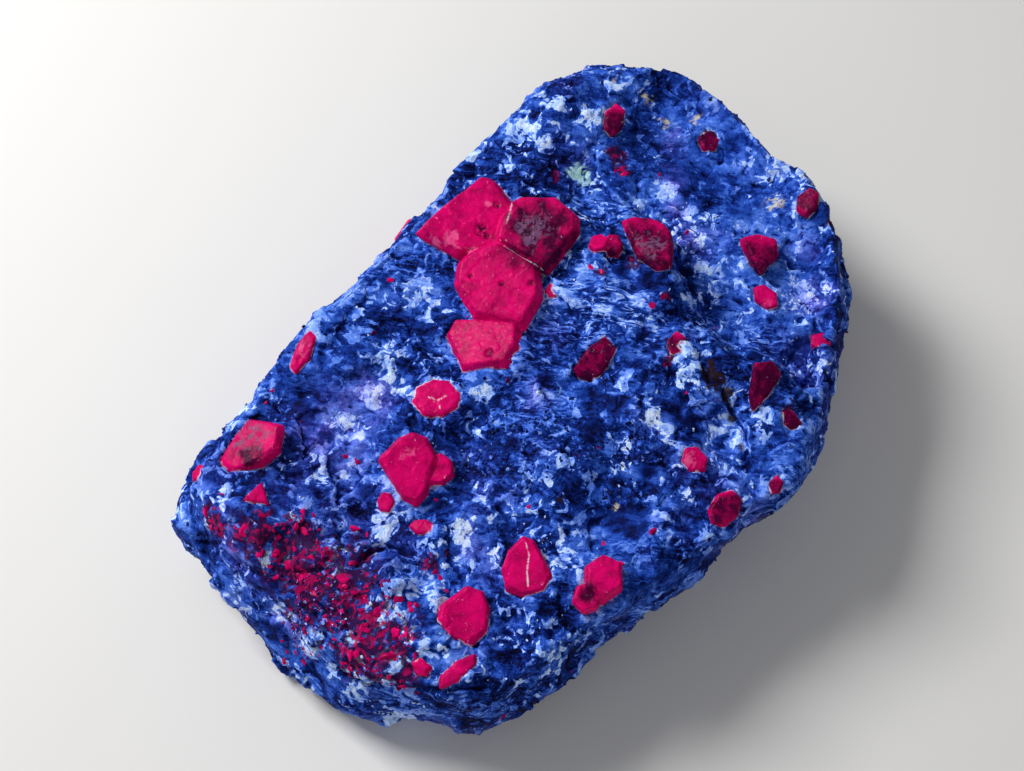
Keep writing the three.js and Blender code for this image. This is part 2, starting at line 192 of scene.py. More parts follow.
def finishedPiece(name, points, faces, material, masks, smooth=True):
    piece = bareObject(name, points * mm, faces)
    piece.data.polygons.foreach_set("use_smooth", np.full(len(faces), smooth))
    for maskName, values in masks.items():
        layer = piece.data.attributes.new(maskName, "FLOAT", "POINT")
        layer.data.foreach_set("value", np.asarray(values, np.float32))
    piece.data.materials.append(material)
    piece.data.update()
    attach(piece, "root")
    return piece


# Noise that is the same in every run

def scramble(cells, seed):
    mixed = cells[..., 0] * 374761393 + cells[..., 1] * 668265263 + cells[..., 2] * 1442695041
    mixed = mixed + seed * 974634779
    mixed = (mixed ^ (mixed >> 13)) * 1274126177
    return ((mixed ^ (mixed >> 16)) & 0xFFFFFF) / 0xFFFFFF


def softNoise(points, size, seed):
    spot = points / size + seed * 7.13
    cell = np.floor(spot).astype(np.int64)
    part = spot - cell
    part = part * part * (3 - 2 * part)
    total = np.zeros(len(points))
    for corner in np.ndindex(2, 2, 2):
        weight = np.prod(np.where(np.array(corner) == 1, part, 1 - part), axis=1)
        total += weight * scramble(cell + np.array(corner), seed)
    return total * 2 - 1


def roughNoise(points, size, seed, octaves=3):
    return sum(softNoise(points, size / 2**i, seed + i) / 2**i for i in range(octaves))


def roughDrift(points, size, seed):
    return np.stack([roughNoise(points, size, seed + axis, 2) for axis in range(3)], 1)


def nearestCells(points, size, seed):
    spot = points / size
    home = np.floor(spot).astype(np.int64)
    nearest = np.full(len(points), 9.0)
    cell = home.copy()
    centre = spot.copy()
    for step in np.ndindex(3, 3, 3):
        near = home + np.array(step) - 1
        heart = near + np.stack([scramble(near, seed + axis) for axis in range(3)], 1)
        distance = np.linalg.norm(spot - heart, axis=1)
        closer = distance < nearest
        nearest[closer] = distance[closer]
        cell[closer] = near[closer]
        centre[closer] = heart[closer]
    return cell, centre * size, nearest * size


def brokenPlates(points, size, level, tilt, seed):
    bent = points + roughDrift(points, size * 0.8, seed + 31) * size * 0.3
    cell, centre, _ = nearestCells(bent, size, seed)
    lean = np.stack([scramble(cell, seed + 11 + axis) for axis in range(3)], 1) * 2 - 1
    return level * (scramble(cell, seed + 21) * 2 - 1) + tilt * ((bent - centre) * lean).sum(1)


def between(low, high, values):
    share = np.clip((values - low) / (high - low), 0, 1)
    return share * share * (3 - 2 * share)


# Places on the stone, from photo pixels

wholeStone = treeOf(*joinArrays([nodeArrays(name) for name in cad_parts]))

edges = {
    "crisp": (0.6, 1.35),  # shares of a patch's radius where it starts to fade and where it ends
    "ragged": (0.0, 1.7),
    "drift": (1.6, 3),  # size and seed of the waves in a patch's edge
    "driftShare": 0.35,
    "line": (0.4, 1.5),  # the same shares for a line's half width
    "lineWaves": (5.0, 301),  # size in half widths, and seed
    "lineWander": 0.5,
    "narrowest": 0.2,
    "farAway": 9.0,
}


def onStone(across, down):
    ray = Vector((across - view["width"] / 2, view["height"] / 2 - down, -focalPixels))
    ray = camera.rotation_quaternion @ ray.normalized()
    eye = camera.location / mm
    hit = wholeStone.ray_cast(eye, ray)[0]
    if hit is None:  # just past the rim: the nearest spot on the stone
        hit = wholeStone.find_nearest(eye + ray * view["distance"])[0]
    return hit


def patchMask(points, spots, edge):
    covered = np.zeros(len(points))
    for across, down, radius in spots:
        heart = np.array(onStone(across, down))
        reach = radius / pixelsPerMm
        near = np.flatnonzero(np.abs(points - heart).max(1) < reach * 2)
        drift = roughDrift(points[near], *edges["drift"]) * reach * edges["driftShare"]
        far = np.linalg.norm(points[near] + drift - heart, axis=1) / reach
        covered[near] = np.maximum(covered[near], 1 - between(*edges[edge], far))
    return covered


def lineMask(points, halfWidth, courses):
    near = np.full(len(points), edges["farAway"])
    for course in courses:
        stops = [np.array(onStone(*pixel)) for pixel in course]
        for start, end in zip(stops, stops[1:]):
            along = end - start
            share = np.clip(((points - start) @ along) / (along @ along), 0, 1)
            near = np.minimum(near, np.linalg.norm(points - start - share[:, None] * along, axis=1))
    waves, seed = edges["lineWaves"]
    wander = 1 + edges["lineWander"] * roughNoise(points, halfWidth * waves, seed, 2)
    start, end = edges["line"]
    return 1 - between(halfWidth * start, halfWidth * end, near / np.maximum(wander, edges["narrowest"]))


# Shader helpers

def addNode(tree, kind, values=None, **settings):
    node = tree.nodes.new("ShaderNode" + kind)
    for key, value in settings.items():
        setattr(node, key, value)
    for key, value in (values or {}).items():
        if isinstance(value, bpy.types.NodeSocket):
            tree.links.new(value, node.inputs[key])
        else:
            node.inputs[key].default_value = value
    return node


def sums(tree, operation, first, second=0.0):
    return addNode(tree, "Math", {0: first, 1: second}, operation=operation).outputs[0]


def times(tree, *factors):
    product = factors[0]
    for factor in factors[1:]:
        product = sums(tree, "MULTIPLY", product, factor)
    return product


def plus(tree, first, second):
    return sums(tree, "ADD", first, second)


def centred(tree, value):
    return sums(tree, "SUBTRACT", value, 0.5)


def stretch(tree, value, low, high, start=0.0, end=1.0):
    values = {"Value": value, "From Min": low, "From Max": high, "To Min": start, "To Max": end}
    return addNode(tree, "MapRange", values, interpolation_type="SMOOTHSTEP").outputs["Result"]


def colour(red, green, blue):
    return (red, green, blue, 1.0)


def mixIn(tree, factor, under, over):
    return addNode(tree, "Mix", {0: factor, 6: under, 7: over}, data_type="RGBA").outputs[2]


def ramp(tree, value, stops):
    node = addNode(tree, "ValToRGB", {0: value})
    elements = node.color_ramp.elements
    while len(elements) < len(stops):
        elements.new(0.5)
    for element, (position, tone) in zip(elements, stops):
        element.position = position
        element.color = tone
    return node.outputs["Color"]


def masked(tree, name):
    return addNode(tree, "Attribute", attribute_name=name).outputs["Fac"]


def millimetres(tree):
    metres = addNode(tree, "TexCoord").outputs["Object"]
    return addNode(tree, "VectorMath", {0: metres, 3: 1 / mm}, operation="SCALE").outputs[0]


def stretched(tree, spot, shares):
    return addNode(tree, "VectorMath", {0: spot, 1: shares}, operation="MULTIPLY").outputs[0]


def noiseField(tree, spot, scale, detail, roughness=0.5, distortion=0.0):
    values = {"Vector": spot, "Scale": scale, "Detail": detail, "Roughness": roughness}
    return addNode(tree, "TexNoise", {**values, "Distortion": distortion}).outputs[0]


def newGroup(name, inputs, outputs):
    group = bpy.data.node_groups.new(name, "ShaderNodeTree")
    for direction, sockets in (("INPUT", inputs), ("OUTPUT", outputs)):
        for socketName, kind in sockets.items():
            group.interface.new_socket(socketName, in_out=direction, socket_type="NodeSocket" + kind)
    start = group.nodes.new("NodeGroupInput")
    end = group.nodes.new("NodeGroupOutput")
    return group, start.outputs, end.inputs


def useGroup(tree, group, **values):
    return addNode(tree, "Group", values, node_tree=group).outputs


# Effects that more than one finish uses

def makeMineralGrains():
    # one tone for each mineral grain
    group, start, end = newGroup("mineralGrains", {"Position": "Vector", "Size": "Float"}, {"Tone": "Float"})
    scale = sums(group, "DIVIDE", 1.0, start["Size"])
    values = {"Vector": start["Position"], "Scale": scale, "Detail": 2.0}
    drift = addNode(group, "TexNoise", values).outputs["Color"]
    amount = times(group, start["Size"], 0.9)
    drift = addNode(group, "VectorMath", {0: drift, 3: amount}, operation="SCALE").outputs[0]
    spot = addNode(group, "VectorMath", {0: start["Position"], 1: drift}, operation="ADD").outputs[0]
    cells = addNode(group, "TexVoronoi", {"Vector": spot, "Scale": scale}).outputs["Color"]
    group.links.new(addNode(group, "SeparateColor", {0: cells}).outputs[0], end["Tone"])
    return group


def makeWispLines():
    # thin broken lines that wind over the surface
    inputs = {"Position": "Vector", "Size": "Float", "Width": "Float"}
    group, start, end = newGroup("wispLines", inputs, {"Line": "Float"})
    scale = sums(group, "DIVIDE", 1.0, start["Size"])
    field = noiseField(group, start["Position"], scale, 3.0, 0.5, 1.4)
    away = sums(group, "ABSOLUTE", centred(group, field))
    values = {"Value": away, "From Max": start["Width"], "To Min": 1.0, "To Max": 0.0}
    line = addNode(group, "MapRange", values).outputs[0]
    breaks = noiseField(group, start["Position"], times(group, scale, 1.7), 2.0)
    group.links.new(times(group, line, stretch(group, breaks, 0.42, 0.58)), end["Line"])
    return group


def makeRaggedPatches():
    # ragged patches that cover a share of the surface
    inputs = {"Position": "Vector", "Size": "Float", "Cover": "Float", "Soft": "Float", "Seed": "Float"}
    group, start, end = newGroup("raggedPatches", inputs, {"Patch": "Float"})
    scale = sums(group, "DIVIDE", 1.0, start["Size"])
    offset = times(group, start["Seed"], 37.3)
    shift = addNode(group, "CombineXYZ", {0: offset, 1: offset, 2: offset}).outputs[0]
    spot = addNode(group, "VectorMath", {0: start["Position"], 1: shift}, operation="ADD").outputs[0]
    field = noiseField(group, spot, scale, 4.0, 0.55, 0.9)
    level = sums(group, "SUBTRACT", 0.72, times(group, start["Cover"], 0.44))
    top = plus(group, level, start["Soft"])
    values = {"Value": field, "From Min": level, "From Max": top}
    group.links.new(addNode(group, "MapRange", values).outputs[0], end["Patch"])
    return group


def makeFineGrit():
    # fine grit for bump and gloss
    outputs = {"Height": "Float", "Gloss": "Float"}
    group, start, end = newGroup("fineGrit", {"Position": "Vector", "Size": "Float"}, outputs)
    scale = sums(group, "DIVIDE", 1.0, start["Size"])
    rough = noiseField(group, start["Position"], scale, 5.0, 0.6)
    chips = addNode(group, "TexVoronoi", {"Vector": start["Position"], "Scale": scale}).outputs
    group.links.new(plus(group, rough, times(group, chips["Distance"], 0.5)), end["Height"])
    group.links.new(addNode(group, "SeparateColor", {0: chips["Color"]}).outputs[1], end["Gloss"])
    return group


mineralGrains = makeMineralGrains()
wispLines = makeWispLines()
raggedPatches = makeRaggedPatches()
fineGrit = makeFineGrit()
print("shared effects:", len(bpy.data.node_groups))


def patches(tree, spot, size, cover, soft, seed):
    return useGroup(tree, raggedPatches, Position=spot, Size=size, Cover=cover, Soft=soft, Seed=seed)["Patch"]


def wisps(tree, spot, size, width):
    return useGroup(tree, wispLines, Position=spot, Size=size, Width=width)["Line"]


def grainTone(tree, spot, size):
    return useGroup(tree, mineralGrains, Position=spot, Size=size)["Tone"]


def newFinish(name):
    material = bpy.data.materials.new(name)
    material.use_nodes = True
    tree = material.node_tree
    shader = next(n for n in tree.nodes if n.type == "BSDF_PRINCIPLED")
    return material, tree, shader


def finishSurface(tree, shader, look, base, height, gloss):
    tree.links.new(base, shader.inputs["Base Color"])
    tree.links.new(stretch(tree, gloss, 0.0, 1.0, *look["roughness"]), shader.inputs["Roughness"])
    shader.inputs["Specular IOR Level"].default_value = look["specular"]
    strength, depth = look["bump"]
    values = {"Height": height, "Strength": strength, "Distance": depth * mm}
    tree.links.new(addNode(tree, "Bump", values).outputs[0], shader.inputs["Normal"])


# Blue matrix finish: a shade from dark to pale, with painted shade in creases and hollows, is built up first,
# then coloured, then given stains and painted shade on the sides

shades = {
    "black": 0.0,
    "navy": 0.16,
    "ultramarine": 0.34,
    "cobalt": 0.52,
    "azure": 0.66,
    "periwinkle": 0.80,
    "paleBlue": 0.90,
    "white": 1.0,
}
matrixTones = {
    "black": colour(0.0010, 0.0010, 0.012),
    "navy": colour(0.002, 0.007, 0.075),
    "ultramarine": colour(0.006, 0.032, 0.255),
    "cobalt": colour(0.026, 0.094, 0.500),
    "azure": colour(0.078, 0.190, 0.720),
    "periwinkle": colour(0.200, 0.350, 0.920),
    "paleBlue": colour(0.420, 0.600, 1.000),
    "white": colour(0.760, 0.880, 1.000),
    "mint": colour(0.420, 0.720, 0.700),
    "tan": colour(0.500, 0.450, 0.320),
    "rust": colour(0.022, 0.009, 0.007),
    "wine": colour(0.030, 0.003, 0.034),
    "crimson": colour(0.340, 0.003, 0.080),
    # painted shade for the sides and the underside
    "sideShade": colour(0.060, 0.052, 0.062),
}
lilacTones = [
    (0.00, colour(0.004, 0.002, 0.026)),
    (0.34, colour(0.028, 0.030, 0.270)),
    (0.66, colour(0.175, 0.190, 0.760)),
    (0.88, colour(0.430, 0.470, 1.000)),
    (1.00, colour(0.780, 0.830, 1.000)),
]
matrixLook = {
    "splitAngle": 62.0,  # the rock splits along lines that run across the photo
    "splitShares": (0.36, 1.0, 1.0),
    "broad": (0.10, 2.0, 0.50),  # noise scale, detail and roughness
    "drift": (0.26, 5.0, 0.60),
    "streak": (0.90, 5.0, 0.65),
    "body": (0.60, 4.0, 0.50, 0.8),
    "grains": 1.1,
    "dust": 0.4,
    # the relief share is painted shade: the low parts of the relief a little darker
    "bodyShares": {"body": 1.5, "grains": 0.14, "relief": 0.06, "broad": 0.9},
    "bodyRange": (0.97, 1.82),
    "cobaltPatches": (2.8, 0.36, 0.08, 3.0),  # size, share covered, softness and seed
    "darkPatches": (1.6, 0.30, 0.07, 5.0),
    "calmGround": (3.2, 0.55, 0.14, 2.0),
    "calmPatches": (2.6, 0.42, 0.14, 4.0),
    "lilacPatches": (2.0, 0.60, 0.15, 1.0),
    "sideShadePatches": (3.5, 0.50, 0.16, 23.0),
    "rimPatches": (0.8, 0.55, 0.10, 25.0),
    "strands": (2.2, 0.080),  # size and width
    "threads": (0.9, 0.070),
    "scratches": (0.8, 0.090),
    "scratchShares": (0.22, 1.0, 1.0),
    "mottle": {"size": 1.5, "cover": 0.36, "inCrust": 0.48, "drift": 0.8, "soft": 0.06, "seed": 7.0},
    "frost": {"size": 0.7, "cover": 0.46, "inCrust": 0.42, "soft": 0.05, "seed": 9.0},
    "stains": {  # mask, size, cover and gain towards the middle, softness, seed
        "wine": ("redStain", 1.4, 0.40, 0.46, 0.08, 13.0),
        "crimson": ("redStain", 1.0, 0.16, 0.38, 0.10, 15.0),
        "tan": ("tan", 0.8, 0.30, 0.45, 0.14, 17.0),
        "mint": ("mint", 1.0, 0.30, 0.60, 0.12, 19.0),
        "rust": ("rust", 0.8, 0.45, 0.50, 0.08, 21.0),
    },
    "strengths": {
        "cobalt": 0.8, "dark": 0.85, "calm": 0.75, "calmPale": 0.7,
        "foliated": 0.7, "frost": 0.95, "stain": 0.93, "crackAndLedgeShadow": 0.94,
    },
    "ranges": {  # where a change starts and ends, and from what to what
        "strands": (0.0, 0.7, 0.3, 1.0),
        "strandShade": (0.0, 0.8),
        "mottleShade": (0.3, 0.7),
        "mottleInCalm": (0.0, 1.0, 0.95, 0.5),
        "frostOnMottle": (0.3, 1.0, 0.2, 1.0),
        "wornCrests": (0.4, 1.0),
        "wornStreaks": (0.42, 0.60, 0.0, 0.8),
        "scratches": (0.0, 0.7, 0.3, 0.95),
        "paleRim": (0.4, 0.6, 0.35, 1.0),
        "paleLine": (0.4, 0.55, 0.2, 1.0),
        "joints": (-0.3, -1.0, 0.0, 0.6),
        "hollows": (-0.25, -0.95, 0.0, 0.45),
        "darkAndShadow": (0.35, 0.65, 0.95, 0.6),
        "rim": (0.5, 0.85),
        "rimPatches": (0.0, 1.0, 0.1, 0.95),
        "lilac": (0.0, 1.0, 0.4, 0.95),
        "stains": (0.1, 0.55),
        "sideShade": (0.0, 1.0, 0.08, 0.75),
    },
    "grit": (0.22, 0.70),  # sizes of the fine and the coarse grit
    "coarseShare": 1.4,
    "roughness": (0.45, 0.90),
    "specular": 0.03,
    "bump": (0.5, 0.16),  # strength and depth
}


def towards(tree, factor, shade, goal):
    return addNode(tree, "Mix", {0: factor, 2: shade, 3: goal}, data_type="FLOAT").outputs[0]


def shadeBetween(tree, value, limits, darkest, palest):
    return stretch(tree, value, *limits, shades[darkest], shades[palest])


def ranged(tree, value, name):
    return stretch(tree, value, *matrixLook["ranges"][name])


def matrixFields(tree):
    look = matrixLook
    spot = millimetres(tree)
    angle = math.radians(look["splitAngle"])
    turned = addNode(tree, "VectorRotate", {"Vector": spot, "Angle": angle}, rotation_type="Z_AXIS")
    layers = stretched(tree, turned.outputs[0], look["splitShares"])
    fields = {
        "spot": spot,
        "layers": layers,
        "broad": centred(tree, noiseField(tree, spot, *look["broad"])),
        "drift": noiseField(tree, spot, *look["drift"]),
        "streak": noiseField(tree, layers, *look["streak"]),
        "body": noiseField(tree, layers, *look["body"]),
        "grains": grainTone(tree, spot, look["grains"]),
        "dust": grainTone(tree, spot, look["dust"]),
    }
    for name in ("calm", "crust", "wispy", "relief", "crest"):
        fields[name] = masked(tree, name)
    return fields


def rockBody(tree, fields):
    # near black to azure, with broad patches where the rock is calm
    look, strengths = matrixLook, matrixLook["strengths"]
    spot, calm = fields["spot"], fields["calm"]
    level = fields["drift"]
    for name, share in look["bodyShares"].items():
        level = plus(tree, level, times(tree, fields[name], share))
    shade = shadeBetween(tree, level, look["bodyRange"], "black", "azure")
    cobalt = times(tree, patches(tree, spot, *look["cobaltPatches"]), strengths["cobalt"])
    shade = towards(tree, cobalt, shade, shades["cobalt"])
    dark = times(tree, patches(tree, spot, *look["darkPatches"]), strengths["dark"])
    shade = towards(tree, dark, shade, times(tree, fields["dust"], shades["navy"]))
    ground = patches(tree, spot, *look["calmGround"])
    ground = shadeBetween(tree, ground, (0.0, 1.0), "cobalt", "periwinkle")
    shade = towards(tree, times(tree, calm, strengths["calm"]), shade, ground)
    pale = times(tree, calm, patches(tree, spot, *look["calmPatches"]), strengths["calmPale"])
    return towards(tree, pale, shade, shades["periwinkle"])


def paleMottle(tree, fields, shade):
    # pale mottling all over, thickest in the crusts
    look, mottle, frost = matrixLook, matrixLook["mottle"], matrixLook["frost"]
    spot, crust = fields["spot"], fields["crust"]
    cover = plus(tree, mottle["cover"], times(tree, crust, mottle["inCrust"]))
    cover = plus(tree, cover, times(tree, centred(tree, fields["drift"]), mottle["drift"]))
    spread = patches(tree, spot, mottle["size"], cover, mottle["soft"], mottle["seed"])
    amount = times(tree, spread, ranged(tree, fields["calm"], "mottleInCalm"))
    pale = shadeBetween(tree, fields["body"], look["ranges"]["mottleShade"], "azure", "white")
    shade = towards(tree, amount, shade, pale)
    cover = plus(tree, frost["cover"], times(tree, crust, frost["inCrust"]))
    white = patches(tree, spot, frost["size"], cover, frost["soft"], frost["seed"])
    white = times(tree, white, ranged(tree, spread, "frostOnMottle"), look["strengths"]["frost"])
    whitest = shadeBetween(tree, fields["dust"], (0.0, 1.0), "paleBlue", "white")
    return towards(tree, white, shade, whitest)


def paleStrands(tree, fields, shade):
    # foliated rock: dark, with pale strands
    look, wispy = matrixLook, fields["wispy"]
    shade = towards(tree, times(tree, wispy, look["strengths"]["foliated"]), shade, shades["navy"])
    strands = wisps(tree, fields["layers"], *look["strands"])
    threads = wisps(tree, fields["layers"], *look["threads"])
    both = times(tree, sums(tree, "MAXIMUM", strands, threads), ranged(tree, wispy, "strands"))
    pale = times(tree, wispy, fields["streak"])
    pale = shadeBetween(tree, pale, look["ranges"]["strandShade"], "paleBlue", "white")
    return towards(tree, both, shade, pale)


def wornAndShaded(tree, fields, shade):
    # crests and rims are rubbed pale; painted shade makes creases and hollows black, and dark rock with
    # painted shadow goes navy
    look, spot = matrixLook, fields["spot"]
    crest, streak = fields["crest"], fields["streak"]
    worn = times(tree, ranged(tree, crest, "wornCrests"), ranged(tree, streak, "wornStreaks"))
    shade = towards(tree, worn, shade, shades["paleBlue"])
    lengthwise = stretched(tree, spot, look["scratchShares"])
    scratches = ranged(tree, wisps(tree, lengthwise, *look["scratches"]), "scratches")
    paleRim = times(tree, masked(tree, "paleRim"), scratches, ranged(tree, fields["body"], "paleRim"))
    shade = towards(tree, paleRim, shade, shades["paleBlue"])
    paleLine = times(tree, masked(tree, "paleLine"), ranged(tree, streak, "paleLine"))
    shade = towards(tree, paleLine, shade, shades["white"])
    # painted shade: black in concave creases and in the low parts of the relief
    hollows = ranged(tree, fields["relief"], "hollows")
    joints = sums(tree, "MAXIMUM", ranged(tree, crest, "joints"), hollows)
    shade = towards(tree, joints, shade, shades["black"])
    # dark rock, and painted shadow beside the raised crystals and the block, go navy
    darkAndShadow = times(tree, masked(tree, "dark"), ranged(tree, fields["drift"], "darkAndShadow"))
    shade = towards(tree, darkAndShadow, shade, times(tree, fields["grains"], shades["navy"]))
    rim = ranged(tree, patches(tree, spot, *look["rimPatches"]), "rimPatches")
    rim = times(tree, ranged(tree, masked(tree, "rim"), "rim"), rim)
    return towards(tree, rim, shade, shades["paleBlue"])


def coloured(tree, fields, shade):
    blue = ramp(tree, shade, [(place, matrixTones[name]) for name, place in shades.items()])
    lilac = ranged(tree, patches(tree, fields["spot"], *matrixLook["lilacPatches"]), "lilac")
    return mixIn(tree, times(tree, masked(tree, "lilac"), lilac), blue, ramp(tree, shade, lilacTones))


def stainedAndShaded(tree, fields, base):
    # stains; black cracks, with painted shadow along the front ledge; and painted shade in patches on the
    # sides and below
    look, strengths, spot = matrixLook, matrixLook["strengths"], fields["spot"]
    for tone, (maskName, size, cover, gain, soft, seed) in look["stains"].items():
        stain = masked(tree, maskName)
        spread = plus(tree, cover, times(tree, stain, gain))
        amount = times(tree, ranged(tree, stain, "stains"), patches(tree, spot, size, spread, soft, seed))
        base = mixIn(tree, times(tree, amount, strengths["stain"]), base, matrixTones[tone])
    # black along cracks, and painted shadow along the front ledge
    base = mixIn(tree, times(tree, masked(tree, "crackAndLedgeShadow"), strengths["crackAndLedgeShadow"]), base, matrixTones["black"])
    sideShade = ranged(tree, patches(tree, spot, *look["sideShadePatches"]), "sideShade")
    return mixIn(tree, times(tree, masked(tree, "sideShade"), sideShade), base, matrixTones["sideShade"])


def matrixFinish():
    material, tree, shader = newFinish("blueMatrix")
    look = matrixLook
    fields = matrixFields(tree)
    shade = rockBody(tree, fields)
    for layer in (paleMottle, paleStrands, wornAndShaded):
        shade = layer(tree, fields, shade)
    base = stainedAndShaded(tree, fields, coloured(tree, fields, shade))
    fine, coarse = (useGroup(tree, fineGrit, Position=fields["spot"], Size=size) for size in look["grit"])
    height = plus(tree, fine["Height"], times(tree, coarse["Height"], look["coarseShare"]))
    finishSurface(tree, shader, look, base, height, fine["Gloss"])
    return material


# Ruby finish

rubyTones = {
    "deep": colour(0.055, 0.0004, 0.024),
    "red": colour(0.330, 0.0006, 0.066),
    "bright": colour(0.580, 0.0010, 0.112),
    "pink": colour(0.780, 0.130, 0.330),
    # grey patches, partly a painted grey-blue sheen
    "sheenAndGrey": colour(0.150, 0.070, 0.150),
    "speck": colour(0.020, 0.001, 0.014),
    "white": colour(0.820, 0.740, 0.860),
}
rubyLook = {
    "cloud": (0.50, 6.0, 0.68, 0.6),  # noise scale, detail, roughness and distortion
    "cloudShare": 1.5,
    "cloudDrop": 0.17,
    "grains": 0.8,
    "grainShare": 0.18,
    "deepDrop": 0.56,
    "levels": {"deep": 0.05, "red": 0.45, "bright": 0.85},
    "patches": {  # mask, size, cover away from it and in it, softness, seed, strength
        "pink": ("pinkRuby", 1.0, 0.02, 0.75, 0.16, 31.0, 0.5),
        "sheenAndGrey": ("sheenAndGreyRuby", 0.8, 0.00, 0.72, 0.16, 33.0, 0.80),
        "speck": ("deepRuby", 0.5, 0.07, 0.34, 0.06, 35.0, 0.8),
    },
    "dust": (0.28, 0.06, 0.05, 37.0),
    "dustStrength": 0.55,
    "pitPatches": (0.6, 0.60, 0.10, 39.0),
    "pitStrength": (0.2, 0.95),  # at the edge and in the middle of a patch
    "veinStrength": 0.7,
    "rimGrains": (0.3, 0.6, 0.0, 0.65),
    "grit": 0.3,
    "roughness": (0.26, 0.50),
    "specular": 0.04,
    "bump": (0.25, 0.05),  # strength and depth
    "paintedGlow": 0.13,  # painted glow: red light that the crystals give off by themselves
}


def rubyFinish():
    material, tree, shader = newFinish("rubyCrystal")
    look, tones = rubyLook, rubyTones
    spot = millimetres(tree)
    grains = grainTone(tree, spot, look["grains"])
    cloud = times(tree, noiseField(tree, spot, *look["cloud"]), look["cloudShare"])
    level = sums(tree, "SUBTRACT", cloud, look["cloudDrop"])
    level = plus(tree, level, times(tree, grains, look["grainShare"]))
    level = sums(tree, "SUBTRACT", level, times(tree, masked(tree, "deepRuby"), look["deepDrop"]))
    base = ramp(tree, level, [(place, tones[name]) for name, place in look["levels"].items()])
    for tone, (maskName, size, away, inside, soft, seed, strength) in look["patches"].items():
        cover = stretch(tree, masked(tree, maskName), 0.0, 1.0, away, inside)
        amount = times(tree, patches(tree, spot, size, cover, soft, seed), strength)
        base = mixIn(tree, amount, base, tones[tone])
    pits = stretch(tree, patches(tree, spot, *look["pitPatches"]), 0.0, 1.0, *look["pitStrength"])
    base = mixIn(tree, times(tree, masked(tree, "pits"), pits), base, tones["speck"])
    dust = times(tree, patches(tree, spot, *look["dust"]), look["dustStrength"])
    vein = times(tree, masked(tree, "vein"), look["veinStrength"])
    rim = times(tree, masked(tree, "rim"), stretch(tree, grains, *look["rimGrains"]))
    for pale in (dust, vein, rim):
        base = mixIn(tree, pale, base, tones["white"])
    grit = useGroup(tree, fineGrit, Position=spot, Size=look["grit"])
    finishSurface(tree, shader, look, base, grit["Height"], grit["Gloss"])
    # painted glow: the crystals' own red, given off as light
    tree.links.new(base, shader.inputs["Emission Color"])
    shader.inputs["Emission Strength"].default_value = look["paintedGlow"]
    return material


# Finishes of the small mineral grains

grainLooks = {
    "paleGrain": {
        "stops": [
            (0.0, matrixTones["periwinkle"]), (0.45, matrixTones["paleBlue"]), (1.0, matrixTones["white"]),
        ],
        "roughness": (0.3, 0.7),
    },
    "blueGrain": {
        "stops": [
            (0.0, matrixTones["black"]), (0.35, matrixTones["navy"]),
            (0.7, matrixTones["ultramarine"]), (1.0, matrixTones["periwinkle"]),
        ],
        "roughness": (0.2, 0.6),
    },
    "violetPlate": {
        "stops": [
            (0.0, colour(0.05, 0.03, 0.35)), (0.6, colour(0.25, 0.18, 0.85)), (1.0, colour(0.70, 0.75, 1.00)),
        ],
        "roughness": (0.06, 0.22),
    },
    "shared": {
        "cells": 0.3,
        "cellShare": 0.25,
        "specular": 0.06,
        "grit": 0.15,
        "bump": (0.35, 0.04),
    },
}


def grainFinish(name):
    material, tree, shader = newFinish(name)
    look = {**grainLooks["shared"], **grainLooks[name]}
    spot = millimetres(tree)
    own = times(tree, masked(tree, "tint"), 1 - look["cellShare"])
    tint = plus(tree, own, times(tree, grainTone(tree, spot, look["cells"]), look["cellShare"]))
    grit = useGroup(tree, fineGrit, Position=spot, Size=look["grit"])
    finishSurface(tree, shader, look, ramp(tree, tint, look["stops"]), grit["Height"], grit["Gloss"])
    return material


blueMatrix = matrixFinish()
rubyCrystal = rubyFinish()
paleGrain = grainFinish("paleGrain")
blueGrain = grainFinish("blueGrain")
violetPlate = grainFinish("violetPlate")
print("finishes:", len(bpy.data.materials), "materials")


# Matrix skin: the solid's own shape with its sockets closed, broken up into plates, chips and grit

